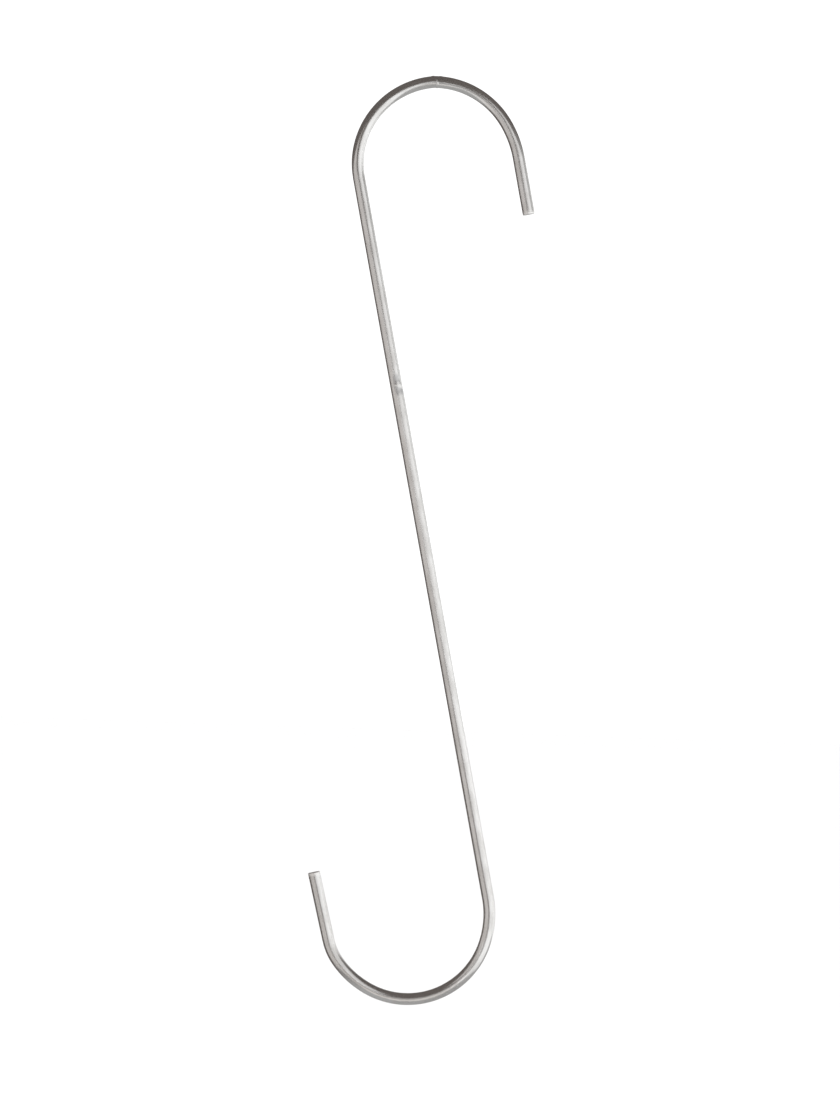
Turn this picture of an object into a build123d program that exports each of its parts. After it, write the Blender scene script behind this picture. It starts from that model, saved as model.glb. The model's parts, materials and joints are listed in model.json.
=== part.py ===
from build123d import *
import os

# A meat hook: one length of round stainless steel bar, bent cold into a long open S.
#
# Millimetres. The hook hangs in the XZ plane with +Z up, and the bar is centred on Y = 0. The origin
# is the point inside the upper bend that rests on the rail. The load rests in the lower bend,
# straight below the origin, so the shank between the two bends leans across the line of pull.

# The bar
bar_diameter = 4.0
end_chamfer = 0.2  # takes the burr off both square-cut ends

# The straight runs of its centreline
upper_tip_length = 18.9
shank_length = 244.0
lower_tip_length = 23.3

# Its bends. The bar was pulled round a former by hand, so each bend opens and tightens as it goes: it is
# a row of tangent arcs, each one given as its centreline radius and the angle it turns, in degrees.
open_side_arcs = [(28.0, 59.0), (36.0, 19.0)]  # from the rail's contact out to the upper tip
crease = (10.0, 7.0)  # the slight kink left where the bend was started
shank_side_arcs = [crease, (27.5, 73.0), (26.0, 22.1)]  # from the rail's contact to the shank
lower_arcs = [(31.0, 30.0), (27.0, 100.0), (31.0, 25.0), (19.0, 23.0)]  # from the shank to its tip

# Ways to turn, as seen from the front, along +Y
LEFT = 1
RIGHT = -1


def bend(start, direction, arcs, side):
    """Draw tangent arcs one after another to one side, and return the last one."""
    for radius, angle in arcs:
        arc = JernArc(start, direction, radius, side * angle)
        start = arc @ 1
        direction = arc % 1
    return arc


def straight_after(curve, length):
    """Carry on from the end of a curve in a straight line, and return it."""
    return PolarLine(curve @ 1, length, direction=curve % 1)


with BuildPart() as hook_bar:
    bar_radius = bar_diameter / 2
    crown = (0, bar_radius)  # the centreline's highest point, one radius above the rail's contact

    with BuildLine(Plane.XZ) as centreline:
        open_side = bend(crown, (1, 0), open_side_arcs, RIGHT)
        straight_after(open_side, upper_tip_length)

        shank_side = bend(crown, (-1, 0), shank_side_arcs, LEFT)
        shank = straight_after(shank_side, shank_length)
        lower_bend = bend(shank @ 1, shank % 1, lower_arcs, RIGHT)
        straight_after(lower_bend, lower_tip_length)

    path = centreline.wire()
    with BuildSketch(path ^ 0):
        Circle(bar_radius)
    sweep(path=path)

    end_faces = faces().filter_by(GeomType.PLANE)
    chamfer(end_faces.edges(), end_chamfer)

hook_bar.part.label = "hook_bar"

os.makedirs("parts", exist_ok=True)
export_step(hook_bar.part, "parts/hook_bar.step")
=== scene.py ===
import json
import math

import bpy
import numpy as np
from mathutils import Euler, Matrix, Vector, noise


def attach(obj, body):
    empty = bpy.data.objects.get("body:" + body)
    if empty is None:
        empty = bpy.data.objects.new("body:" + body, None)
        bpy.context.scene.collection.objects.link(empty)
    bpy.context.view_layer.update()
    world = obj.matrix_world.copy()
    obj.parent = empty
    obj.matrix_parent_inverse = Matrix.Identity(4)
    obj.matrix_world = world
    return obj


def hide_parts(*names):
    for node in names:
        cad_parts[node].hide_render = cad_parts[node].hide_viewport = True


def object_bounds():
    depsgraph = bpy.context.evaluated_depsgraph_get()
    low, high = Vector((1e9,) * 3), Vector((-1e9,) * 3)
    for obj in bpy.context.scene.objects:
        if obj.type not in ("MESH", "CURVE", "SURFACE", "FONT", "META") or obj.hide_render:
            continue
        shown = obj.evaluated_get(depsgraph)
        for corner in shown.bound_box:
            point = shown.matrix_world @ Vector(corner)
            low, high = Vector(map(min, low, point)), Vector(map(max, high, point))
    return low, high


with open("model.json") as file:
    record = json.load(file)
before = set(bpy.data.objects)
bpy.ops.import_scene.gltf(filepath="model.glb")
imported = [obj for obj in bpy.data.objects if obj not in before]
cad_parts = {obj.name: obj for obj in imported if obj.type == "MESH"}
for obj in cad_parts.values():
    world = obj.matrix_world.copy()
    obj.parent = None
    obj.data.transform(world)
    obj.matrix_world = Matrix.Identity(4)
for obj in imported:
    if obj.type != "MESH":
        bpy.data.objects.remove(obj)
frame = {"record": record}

# A meat hook: one length of round bright steel bar bent into a long open S, hanging in the XZ plane.
# The piece below stands for the CAD bar with the same centreline and diameter, and adds what a bent
# bar really has: a slightly uneven surface, bends that flatten a little, a crease at the crown, a
# handling mark on the shank, and sawn ends with a broken edge. Lengths are in metres.

MM = 0.001
cad_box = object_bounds()
mounts = {mount["name"]: mount for mount in frame["record"]["mounts"]}
rail_contact = Vector(mounts["rail_saddle"]["pos_m"])
BAR_RADIUS = mounts["upper_tip"]["dims"]["r_mm"] * MM

# ---------------------------------------------------------------- the bar's centreline

UPPER_TIP = 18.9 * MM
SHANK = 244.0 * MM
LOWER_TIP = 23.3 * MM
# Bends as (centreline radius in mm, angle in degrees), from the upper tip towards the lower one.
OPEN_SIDE_ARCS = [(36.0, 19.0), (28.0, 59.0)]
SHANK_SIDE_ARCS = [(10.0, 7.0), (27.5, 73.0), (26.0, 22.1)]
LOWER_ARCS = [(31.0, 30.0), (27.0, 100.0), (31.0, 25.0), (19.0, 23.0)]
CROWN_HEADING = math.pi  # the bar runs level over the rail, from +X to -X
BROKEN_EDGE = 0.2 * MM  # what is taken off the edge of each cut end


def straight(length):
    return [(length, 0.0)]


def arcs(bends, side):
    """Runs of (length, curvature) for tangent arcs that turn left (1) or right (-1)."""
    return [(radius * MM * math.radians(angle), side / (radius * MM)) for radius, angle in bends]


def total(runs):
    return sum(length for length, curvature in runs)


to_crown = straight(UPPER_TIP) + arcs(OPEN_SIDE_ARCS, 1)
to_shank = arcs(SHANK_SIDE_ARCS, 1)
to_lower_tip = straight(SHANK) + arcs(LOWER_ARCS, -1) + straight(LOWER_TIP)
RUNS = to_crown + to_shank + to_lower_tip
CROWN_AT = total(to_crown)
SHANK_AT = CROWN_AT + total(to_shank)
LENGTH = total(RUNS)


def centreline(along):
    """Position (x, z), heading and curvature at each distance along the bar from its upper tip."""
    along = np.asarray(along, float)
    position = np.zeros((len(along), 2))
    heading = np.zeros(len(along))
    curvature = np.zeros(len(along))
    start = np.zeros(2)
    start_heading = CROWN_HEADING - sum(length * bend for length, bend in to_crown)
    travelled = 0.0
    for run, (length, bend) in enumerate(RUNS):
        last = run == len(RUNS) - 1
        here = (along >= travelled) & ((along < travelled + length) | last)
        reach = np.append(along[here] - travelled, length)
        turned = start_heading + bend * reach
        if bend:
            step = np.column_stack((np.sin(turned) - math.sin(start_heading),
                                    math.cos(start_heading) - np.cos(turned))) / bend
        else:
            step = np.outer(reach, (math.cos(start_heading), math.sin(start_heading)))
        position[here] = start + step[:-1]
        heading[here] = turned[:-1]
        curvature[here] = bend
        start = start + step[-1]
        start_heading = turned[-1]
        travelled += length
    return position, heading, curvature


crown_point = centreline([CROWN_AT])[0][0]
bar_shift = np.array((rail_contact.x, rail_contact.z + BAR_RADIUS)) - crown_point

# ---------------------------------------------------------------- the bar's surface

AROUND = 64  # points in each ring
RING_STEP = 0.5 * MM
FINE_STEP = 0.12 * MM
MARK_AT = SHANK_AT + 70.5 * MM  # a handling mark on the front of the shank
CREASE_AT = CROWN_AT - 0.15 * MM
USUAL_BEND = 27 * MM  # the radius at which the bar counts as fully bent
FLATTENING = 0.008  # share of its radius that a bend loses inside and outside, and gains front and back
THICKENING = 0.004  # share that it gains inside and loses outside
SWELL_LENGTH = 14 * MM
SWELL_HEIGHT = 0.010 * MM


def bump(distance, width):
    """A smooth hump, 1 at no distance and fading over the width."""
    return np.exp(-(distance / width) ** 2)


def waviness(along, angle):
    """What drawing and straightening leave: long low swells, about a hundredth of a millimetre."""
    swell = np.empty(len(along))
    for k in range(len(along)):
        place = Vector((along[k] / SWELL_LENGTH, 0.6 * math.cos(angle[k]), 0.6 * math.sin(angle[k])))
        swell[k] = noise.noise(place) + 0.35 * noise.noise(place * 3.1)
    return SWELL_HEIGHT * swell


def bar_surface(along, angle, curvature):
    """The distance from centreline to surface. Angle 0 is the left of travel, and 90 degrees the front."""
    left = np.cos(angle)
    front = np.sin(angle)
    bend = np.clip(np.abs(curvature) * USUAL_BEND, 0, 1.2)
    inner = left * np.sign(curvature)
    radius = BAR_RADIUS * (1 - FLATTENING * bend * (left ** 2 - front ** 2) + THICKENING * bend * inner)

    # The crease where the bend was started: two small lips outside, a fine ridge across the inside, and
    # along the front a low ridge with a flat beside it, which change places from one side to the other.
    past_crease = along - CREASE_AT
    outside = np.clip(-left, 0, 1) ** 2
    inside = np.clip(left + 0.3, 0, 1)
    radius += outside * 0.13 * MM * bump(past_crease - 1.15 * MM, 0.5 * MM)
    radius += outside * 0.09 * MM * bump(past_crease + 1.15 * MM, 0.5 * MM)
    radius += inside * 0.10 * MM * bump(past_crease + 0.2 * MM, 0.25 * MM)
    flat_along = np.where(past_crease > 0, bump(past_crease, 9 * MM), -0.8 * bump(past_crease, 6 * MM))
    turned = np.degrees(np.arctan2(front, left))
    radius += 0.05 * MM * flat_along * (bump(turned - 95, 20) - bump(turned - 50, 20))

    # The handling mark: two shallow dips with a ridge between them, on the front and right of the shank.
    past_mark = along - MARK_AT
    facing = np.clip(0.5 * left + 0.87 * front, 0, 1) ** 3
    dips = bump(past_mark - 1.7 * MM, 0.9 * MM) + bump(past_mark + 1.7 * MM, 0.9 * MM)
    radius += facing * (0.03 * MM * bump(past_mark, 0.5 * MM) - 0.05 * MM * dips)
    return radius


def rings():
    """Distances along the bar for its rings, closer together at the crease and the mark."""
    everywhere = np.arange(BROKEN_EDGE, LENGTH - BROKEN_EDGE, RING_STEP)
    near_crown = np.arange(-3 * MM, 4 * MM, FINE_STEP) + CROWN_AT
    near_mark = np.arange(-5 * MM, 5 * MM, FINE_STEP) + MARK_AT
    along = np.sort(np.concatenate((everywhere, near_crown, near_mark, [LENGTH - BROKEN_EDGE])))
    return along[np.append(True, np.diff(along) > 0.3 * FINE_STEP)]


def end_profile():
    """(distance in from the cut face, share of the radius) round the broken edge and over the face."""
    edge_share = BROKEN_EDGE / BAR_RADIUS
    worn = 1.35  # between 1, a plain chamfer, and 2, a full round
    turn = np.linspace(0, math.pi / 2, 9)[1:]
    edge = [(BROKEN_EDGE * (1 - math.sin(t) ** (2 / worn)),
             1 - edge_share * (1 - math.cos(t) ** (2 / worn))) for t in turn]
    face = [(0.0, share) for share in np.linspace(1 - edge_share, 0, 11)[1:-1]]
    return edge + face


def sawn_face(across, front):
    """How far a cut face stands in or out of true: slightly off square, with fine saw lines."""
    lines = np.sin((across + 0.25 * front) / (0.06 * MM)) + 0.6 * np.sin(across / (0.145 * MM) + 1.0)
    return 0.015 * across + 0.004 * MM * lines


def build_bar():
    angles = np.arange(AROUND) * 2 * math.pi / AROUND
    cut = end_profile()
    stations = list(reversed(cut))
    stations += [(at, 1.0) for at in rings()]
    stations += [(LENGTH - inset, share) for inset, share in cut]
    along = np.repeat([at for at, share in stations], AROUND)
    share = np.repeat([share for at, share in stations], AROUND)
    angle = np.tile(angles, len(stations))
    position, heading, curvature = centreline(along)
    radius = (bar_surface(along, angle, curvature) + waviness(along, angle)) * share
    left = radius * np.cos(angle)
    front = radius * np.sin(angle)

    # Cut faces: the last rings stand slightly off square, fading out over the broken edge.
    on_face = np.clip((1 - share) * BAR_RADIUS / BROKEN_EDGE, 0, 1)
    outward = np.where(along < LENGTH / 2, -1.0, 1.0)
    slide = outward * on_face * sawn_face(left, front)
    x = position[:, 0] + bar_shift[0] - np.sin(heading) * left + np.cos(heading) * slide
    z = position[:, 1] + bar_shift[1] + np.cos(heading) * left + np.sin(heading) * slide
    y = rail_contact.y - front
    vertices = np.column_stack((x, y, z))
    unrolled = np.column_stack((along + slide, left, front))

    faces = []
    for ring in range(len(stations) - 1):
        for k in range(AROUND):
            a = ring * AROUND + k
            b = ring * AROUND + (k + 1) % AROUND
            faces.append((a, b, b + AROUND, a + AROUND))
    centres = []
    for end_ring, at in ((0, 0.0), (len(stations) - 1, LENGTH)):
        centre = len(vertices) + len(centres)
        across, up = centreline([at])[0][0] + bar_shift
        centres.append((across, rail_contact.y, up))
        unrolled = np.vstack((unrolled, (at, 0.0, 0.0)))
        for k in range(AROUND):
            a = end_ring * AROUND + k
            b = end_ring * AROUND + (k + 1) % AROUND
            faces.append((centre, b, a) if end_ring == 0 else (centre, a, b))
    vertices = np.vstack((vertices, centres))

    mesh = bpy.data.meshes.new("bar")
    mesh.from_pydata(vertices.tolist(), [], faces)
    mesh.validate()
    mesh.shade_smooth()
    layout = mesh.attributes.new("unrolled", "FLOAT_VECTOR", "POINT")
    layout.data.foreach_set("vector", unrolled.astype(np.float32).ravel())
    # The way round the bar at each point, for its brushed look; the two face centres have none.
    around = np.column_stack((np.sin(heading) * np.sin(angle), -np.cos(angle),
                              -np.cos(heading) * np.sin(angle)))
    around = np.vstack((around, np.zeros((2, 3))))
    tangent = mesh.attributes.new("around", "FLOAT_VECTOR", "POINT")
    tangent.data.foreach_set("vector", around.astype(np.float32).ravel())
    bends = np.append(np.abs(curvature) * USUAL_BEND, (0.0, 0.0))
    bending = mesh.attributes.new("bending", "FLOAT", "POINT")
    bending.data.foreach_set("value", bends.astype(np.float32))
    bar = bpy.data.objects.new("bar", mesh)
    bpy.context.scene.collection.objects.link(bar)
    return bar


# ---------------------------------------------------------------- bright steel


class Nodes:
    """Short calls for building one node tree."""

    def __init__(self, tree):
        self.tree = tree
        self.tree.nodes.clear()

    def add(self, kind, **settings):
        node = self.tree.nodes.new(kind)
        for name, value in settings.items():
            setattr(node, name, value)
        return node

    def feed(self, socket, value):
        if isinstance(value, bpy.types.NodeSocket):
            self.tree.links.new(value, socket)
        else:
            socket.default_value = value

    def math(self, operation, first, second=0.0):
        node = self.add("ShaderNodeMath", operation=operation)
        self.feed(node.inputs[0], first)
        self.feed(node.inputs[1], second)
        return node.outputs[0]

    def fade(self, value, low, high, to_low=0.0, to_high=1.0):
        node = self.add("ShaderNodeMapRange", interpolation_type="SMOOTHSTEP")
        for socket, given in zip(node.inputs, (value, low, high, to_low, to_high)):
            self.feed(socket, given)
        return node.outputs[0]

    def mix(self, share, first, second):
        node = self.add("ShaderNodeMix", data_type="RGBA")
        self.feed(node.inputs["Factor"], share)
        # The mix node has a pair of inputs for each data type, and these are the colours'.
        self.feed(node.inputs[6], first)
        self.feed(node.inputs[7], second)
        return node.outputs[2]

    def stretched_noise(self, place, stretch, detail=3.0, roughness=0.5):
        """Noise in the unrolled bar's space, with one grain size per axis, in millimetres."""
        scale = self.add("ShaderNodeVectorMath", operation="MULTIPLY")
        self.feed(scale.inputs[0], place)
        self.feed(scale.inputs[1], tuple(1 / (size * MM) for size in stretch))
        texture = self.add("ShaderNodeTexNoise")
        self.feed(texture.inputs["Vector"], scale.outputs[0])
        self.feed(texture.inputs["Scale"], 1.0)
        self.feed(texture.inputs["Detail"], detail)
        self.feed(texture.inputs["Roughness"], roughness)
        return texture.outputs["Fac"]


def mark_scuff_and_shade(nodes, along, left, front, ragged):
    """Where the handling mark has dulled the bar and is painted darker as shade in its dips: two patches,
    with a clean wedge open to the right.
    """
    # On the shank the bar runs down, so its left is the picture's right.
    past = nodes.math("SUBTRACT", along, MARK_AT)
    from_ridge = nodes.math("ADD", nodes.math("ABSOLUTE", past), ragged)
    wedge = nodes.math("SUBTRACT", from_ridge, nodes.math("MULTIPLY", left, 0.45))
    inner = nodes.fade(wedge, 0.3 * MM, 0.8 * MM)
    outer = nodes.fade(from_ridge, 4.2 * MM, 2.4 * MM)
    left_end = nodes.fade(nodes.math("ADD", left, ragged), -0.9 * MM, -0.4 * MM)
    right_end = nodes.fade(left, 1.7 * MM, 1.1 * MM)
    below = nodes.fade(past, 0.0, 0.5 * MM)
    across = nodes.math("MULTIPLY", left_end, nodes.math("MAXIMUM", right_end, below))
    on_front = nodes.fade(front, 0.2 * MM, 0.8 * MM)
    patch = nodes.math("MULTIPLY", nodes.math("MULTIPLY", inner, outer), across)
    return nodes.math("MULTIPLY", patch, on_front)


SCRATCH_SLANT = math.radians(24)  # how far the crossing scratches turn from the draw lines
CLEAN = (0.70, 0.70, 0.695, 1.0)
DULL = (0.60, 0.595, 0.585, 1.0)
DRAW_LINE = (0.45, 0.43, 0.415, 1.0)
# The ends are painted lighter: partly the ground metal, partly a painted highlight.
DEBURRED_HIGHLIGHT = (0.82, 0.82, 0.81, 1.0)
# The handling mark's patches are painted darker: painted shade in its dips, as well as scuffing.
SCUFF_SHADE_COLOUR = (0.50, 0.50, 0.50, 1.0)
SCRATCH = (0.80, 0.80, 0.79, 1.0)


def bright_steel():
    """Drawn stainless bar: fine lines along it, a grain opened by the bends, smears and light wear, lighter
    ground ends that carry a painted highlight, and a handling mark painted darker as shade in its dips.
    """
    material = bpy.data.materials.new("bright_steel")
    material.use_nodes = True
    nodes = Nodes(material.node_tree)
    shader = nodes.add("ShaderNodeBsdfPrincipled")
    output = nodes.add("ShaderNodeOutputMaterial")
    nodes.feed(output.inputs["Surface"], shader.outputs[0])
    place = nodes.add("ShaderNodeAttribute", attribute_name="unrolled").outputs["Vector"]
    bending = nodes.add("ShaderNodeAttribute", attribute_name="bending").outputs["Fac"]

    draw_lines = nodes.stretched_noise(place, (9.0, 0.11, 0.11), detail=4.0, roughness=0.6)
    broad_lines = nodes.stretched_noise(place, (30.0, 0.5, 0.5), detail=2.0)
    grain = nodes.stretched_noise(place, (0.22, 0.16, 0.16), detail=3.0, roughness=0.6)
    smears = nodes.stretched_noise(place, (7.0, 2.4, 2.4), detail=4.0, roughness=0.55)
    opened = nodes.math("MULTIPLY", nodes.fade(bending, 0.2, 0.9), grain)
    turned = nodes.add("ShaderNodeVectorRotate", rotation_type="AXIS_ANGLE")
    nodes.feed(turned.inputs["Vector"], place)
    turned.inputs["Axis"].default_value = (0.0, 0.7, 0.7)
    turned.inputs["Angle"].default_value = SCRATCH_SLANT
    crossing = nodes.stretched_noise(turned.outputs[0], (3.0, 0.06, 0.06), detail=2.0, roughness=0.4)
    scratched = nodes.math("MULTIPLY", nodes.fade(crossing, 0.62, 0.70), nodes.fade(smears, 0.42, 0.60))

    split = nodes.add("ShaderNodeSeparateXYZ")
    nodes.feed(split.inputs[0], place)
    along, left, front = split.outputs
    from_end = nodes.math("MINIMUM", along, nodes.math("SUBTRACT", LENGTH, along))
    frayed = nodes.math("ADD", nodes.math("MULTIPLY", smears, 1.2), nodes.math("MULTIPLY", draw_lines, 1.8))
    ragged = nodes.math("MULTIPLY", nodes.math("SUBTRACT", frayed, 1.5), 1.0 * MM)
    # Mask for the lighter ends, which are partly ground metal and partly a painted highlight; it also
    # roughens them.
    deburred_and_highlight = nodes.fade(nodes.math("ADD", from_end, ragged), 1.7 * MM, 0.6 * MM)
    # Mask for the handling mark: painted shade in its dips, and a rougher, scuffed surface.
    scuff_and_shade = mark_scuff_and_shade(nodes, along, left, front, ragged)

    colour = nodes.mix(nodes.fade(smears, 0.35, 0.7), CLEAN, DULL)
    lined = nodes.mix(nodes.fade(draw_lines, 0.56, 0.75, 0.0, 0.5), colour, DRAW_LINE)
    # Paints the lighter ends: ground metal with a painted highlight.
    ends = nodes.mix(deburred_and_highlight, lined, DEBURRED_HIGHLIGHT)
    # Paints the handling mark darker, as painted shade in its dips.
    marked = nodes.mix(scuff_and_shade, ends, SCUFF_SHADE_COLOUR)
    scratch_share = nodes.math("MULTIPLY", scratched, 0.35)
    nodes.feed(shader.inputs["Base Color"], nodes.mix(scratch_share, marked, SCRATCH))
    shader.inputs["Metallic"].default_value = 1.0

    streaks = nodes.fade(draw_lines, 0.3, 0.7, 0.15, 0.21)
    satin = nodes.fade(bending, 0.0, 0.9, 0.05, 0.0)
    smeared = nodes.math("ADD", streaks, nodes.fade(smears, 0.4, 0.75, 0.0, 0.04))
    rough = nodes.math("ADD", nodes.math("ADD", smeared, satin), nodes.math("MULTIPLY", opened, 0.06))
    worn = nodes.math("ADD", nodes.math("MULTIPLY", deburred_and_highlight, 0.15), nodes.math("MULTIPLY", scuff_and_shade, 0.08))
    handled = nodes.math("ADD", worn, nodes.math("MULTIPLY", scratched, 0.10))
    nodes.feed(shader.inputs["Roughness"], nodes.math("ADD", rough, handled))
    shader.inputs["Anisotropic"].default_value = 0.7
    around = nodes.add("ShaderNodeAttribute", attribute_name="around").outputs["Vector"]
    nodes.feed(shader.inputs["Tangent"], around)

    height = nodes.math("ADD", nodes.math("MULTIPLY", draw_lines, 0.5), broad_lines)
    relief = nodes.add("ShaderNodeBump")
    nodes.feed(relief.inputs["Height"], nodes.math("ADD", height, nodes.math("MULTIPLY", opened, 0.8)))
    relief.inputs["Strength"].default_value = 0.1
    relief.inputs["Distance"].default_value = 0.02 * MM
    nodes.feed(shader.inputs["Normal"], relief.outputs[0])
    return material


bar = build_bar()
bar.data.materials.append(bright_steel())
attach(bar, "root")
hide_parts("hook_bar")

# ---------------------------------------------------------------- stage, light and camera

hook_bottom = cad_box[0][2]


def pale_floor():
    """A plain pale floor, a hand's breadth under the hanging hook."""
    size = 6.0
    drop = 0.09
    level = hook_bottom - drop
    mesh = bpy.data.meshes.new("floor")
    corners = [(-size, -size, level), (size, -size, level), (size, size, level), (-size, size, level)]
    mesh.from_pydata(corners, [], [(0, 1, 2, 3)])
    material = bpy.data.materials.new("floor_pale")
    material.use_nodes = True
    shader = material.node_tree.nodes["Principled BSDF"]
    shader.inputs["Base Color"].default_value = (0.93, 0.93, 0.93, 1.0)
    shader.inputs["Roughness"].default_value = 0.9
    mesh.materials.append(material)
    floor = bpy.data.objects.new("floor", mesh)
    bpy.context.scene.collection.objects.link(floor)
    floor.visible_glossy = False


middle = Vector((rail_contact.x, rail_contact.y, (hook_bottom + cad_box[1][2]) / 2))
BACKDROP_LIGHT = 1.15  # a little over white, so that the background comes out plain white
# Two softboxes stand close by, rolled so that the gap between them narrows downwards, and a shallow
# strip softens the gap's mirror image along the shank. The camera sees none of the lights, though the
# strip stands in its line of sight. Each is (name, azimuth in degrees from the front towards the right,
# distance and height of its middle from the hook's middle, width, height, roll in degrees, brightness,
# tint).
WHITE = (1.0, 1.0, 1.0)
WARM = (1.0, 0.92, 0.86)
SOFTBOXES = [
    ("left_softbox", -56, 0.62, -0.20, 0.98, 0.82, 18, 0.60, (1.0, 0.97, 0.95)),
    ("right_softbox", 54, 0.62, -0.10, 1.38, 0.90, -18, 0.76, WHITE),
    ("front_strip", -6, 1.60, 0.00, 0.90, 0.22, 0, 0.8, WHITE),
    ("bench_reflector", 0, 0.50, -0.38, 0.30, 0.30, 0, 0.55, WARM),
    ("rim_light", 130, 0.70, 0.00, 0.80, 0.60, 0, 0.60, WHITE),
]
DIM_ROOM = (0.14, 0.12, 0.11, 1.0)
PALE_SWEEP = (0.52, 0.515, 0.51, 1.0)


def softbox(name, azimuth, distance, up, width, height, roll, brightness, tint):
    """A soft rectangle of light, turned to face the hook."""
    data = bpy.data.lights.new(name, "AREA")
    data.shape = "RECTANGLE"
    data.size = width
    data.size_y = height
    data.energy = brightness * math.pi * width * height
    data.color = tint
    azimuth = math.radians(azimuth)
    offset = Vector((distance * math.sin(azimuth), -distance * math.cos(azimuth), up))
    level = Vector((offset.x, offset.y, 0.0))
    holder = bpy.data.objects.new(name, data)
    holder.location = middle + offset
    upright = level.to_track_quat("Z", "Y")
    holder.rotation_euler = (upright @ Euler((0, 0, math.radians(roll))).to_quaternion()).to_euler()
    holder.visible_camera = False
    bpy.context.scene.collection.objects.link(holder)


def surroundings():
    """Plain white to the camera; the bar mirrors a room that is dim up and left, and pale down and right."""
    world = bpy.data.worlds.new("studio")
    world.use_nodes = True
    bpy.context.scene.world = world
    nodes = Nodes(world.node_tree)
    ray = nodes.add("ShaderNodeLightPath")
    direction = nodes.add("ShaderNodeTexCoord").outputs["Generated"]
    split = nodes.add("ShaderNodeSeparateXYZ")
    nodes.feed(split.inputs[0], direction)
    to_the_right, _, up = split.outputs
    lowness = nodes.math("SUBTRACT", nodes.math("MULTIPLY", to_the_right, 0.7), up)
    mirrored = nodes.add("ShaderNodeBackground")
    nodes.feed(mirrored.inputs["Color"], nodes.mix(nodes.fade(lowness, 0.0, 0.5), DIM_ROOM, PALE_SWEEP))
    plain = nodes.add("ShaderNodeBackground")
    plain.inputs["Color"].default_value = (1.0, 1.0, 1.0, 1.0)
    plain.inputs["Strength"].default_value = BACKDROP_LIGHT
    choice = nodes.add("ShaderNodeMixShader")
    nodes.feed(choice.inputs[0], ray.outputs["Is Glossy Ray"])
    nodes.feed(choice.inputs[1], plain.outputs[0])
    nodes.feed(choice.inputs[2], mirrored.outputs[0])
    nodes.feed(nodes.add("ShaderNodeOutputWorld").inputs[0], choice.outputs[0])


FRAME_WIDTH = 280 * MM  # what the picture spans at the hook
FRAME_SHAPE = 1120 / 840
LENS = 180.0  # millimetres, as is the sensor's height
SENSOR = 36.0
CAMERA_ROLL = math.radians(1.94)
LOOK_AT = (-0.07 * MM, -157.43 * MM)  # across and up from the rail's contact


def camera():
    """A camera square on to the hook's plane, turned a little so that the hook leans as it should."""
    data = bpy.data.cameras.new("camera")
    data.sensor_fit = "VERTICAL"
    data.sensor_height = SENSOR
    data.lens = LENS
    distance = FRAME_WIDTH * FRAME_SHAPE * LENS / SENSOR
    holder = bpy.data.objects.new("camera", data)
    holder.location = (rail_contact.x + LOOK_AT[0], rail_contact.y - distance, rail_contact.z + LOOK_AT[1])
    upright = Euler((math.pi / 2, 0, 0)).to_matrix()
    roll = Euler((0, -CAMERA_ROLL, 0)).to_matrix()
    holder.rotation_euler = (roll @ upright).to_euler()
    data.clip_start = 10 * MM
    bpy.context.scene.collection.objects.link(holder)
    bpy.context.scene.camera = holder


pale_floor()
for box in SOFTBOXES:
    softbox(*box)
surroundings()
camera()
bpy.context.scene.view_settings.view_transform = "Standard"
